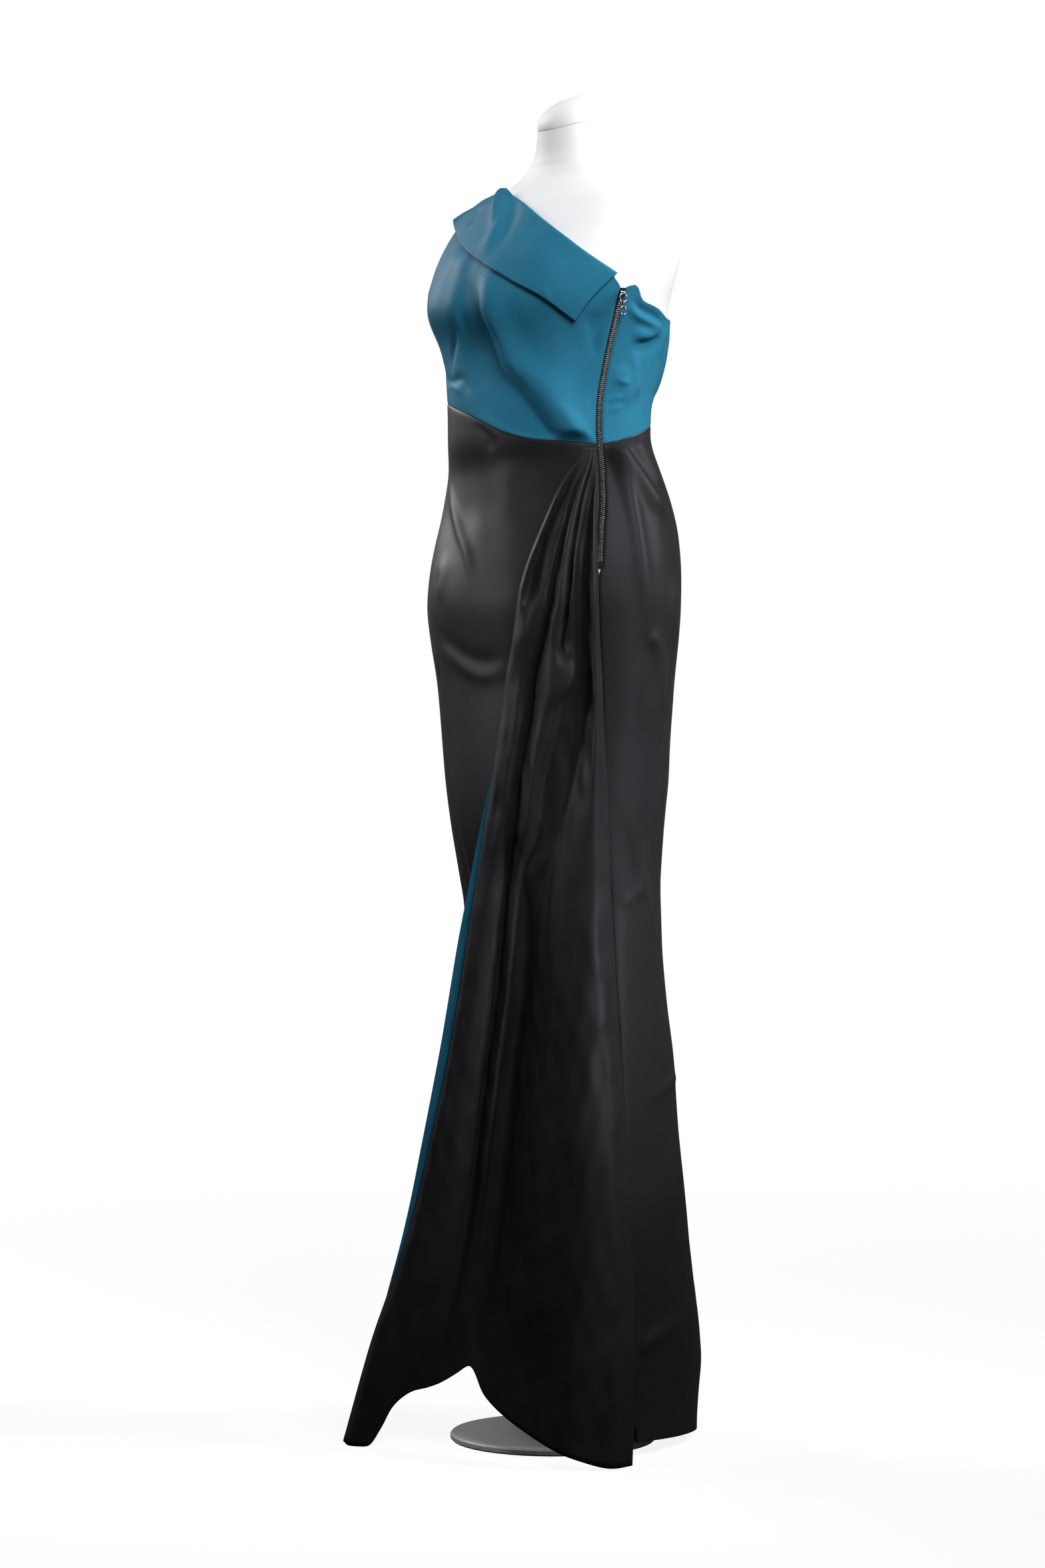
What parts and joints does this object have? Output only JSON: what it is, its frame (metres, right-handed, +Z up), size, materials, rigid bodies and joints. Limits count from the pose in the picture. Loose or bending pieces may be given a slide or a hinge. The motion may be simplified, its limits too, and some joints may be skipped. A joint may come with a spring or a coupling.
{
  "type": "evening gown on dress form",
  "caption": "Floor-length one-shoulder satin gown with a folded collar band, pleated side drape and exposed side zip, on a limbless dress form with a stand.",
  "frame": {"origin": "middle of the underside of the stand's base, on the floor", "axes": "+Z up, -Y towards the figure's front, +X towards the figure's left, where the zip and the drape are"},
  "size_m": [0.3699, 0.3858, 1.5063],
  "materials": {
    "teal_satin": "soft satin",
    "black_satin": "soft satin",
    "tape_cloth": "woven tape",
    "gunmetal": "polished gunmetal plating",
    "form_skin": "smooth matt",
    "stand_paint": "satin powder coat"
  },
  "bodies": {
    "gown_on_form": {"bodice_front": "teal_satin", "bodice_back": "teal_satin", "collar_flap": "teal_satin", "skirt_front": "black_satin", "skirt_back": "black_satin", "side_drape": "black_satin", "drape_lining": "teal_satin", "zip_tape": "tape_cloth", "zip_chain": "gunmetal", "zip_slider": "gunmetal", "form_torso": "form_skin", "form_neck_cap": "form_skin", "stand_pole": "stand_paint", "stand_base": "stand_paint"},
    "pull_1": {"pull_link_1": "gunmetal"},
    "pull_2": {"pull_link_2": "gunmetal"},
    "pull_3": {"pull_link_3": "gunmetal"}
  },
  "joints": [
    {"name": "pull_1_swing", "type": "hinge", "parent": "gown_on_form", "child": "pull_1", "pos_m": [0.15737, -0.03496, 1.25998], "axis": [-0.371, -0.9286, 0], "range_deg": [0, 140]},
    {"name": "pull_2_swing", "type": "hinge", "parent": "pull_1", "child": "pull_2", "pos_m": [0.15737, -0.03496, 1.25088], "axis": [-0.371, -0.9286, 0], "range_deg": [0, 80]},
    {"name": "pull_3_swing", "type": "hinge", "parent": "pull_2", "child": "pull_3", "pos_m": [0.15737, -0.03496, 1.24448], "axis": [0.9286, -0.371, 0], "range_deg": [-60, 60]}
  ]
}
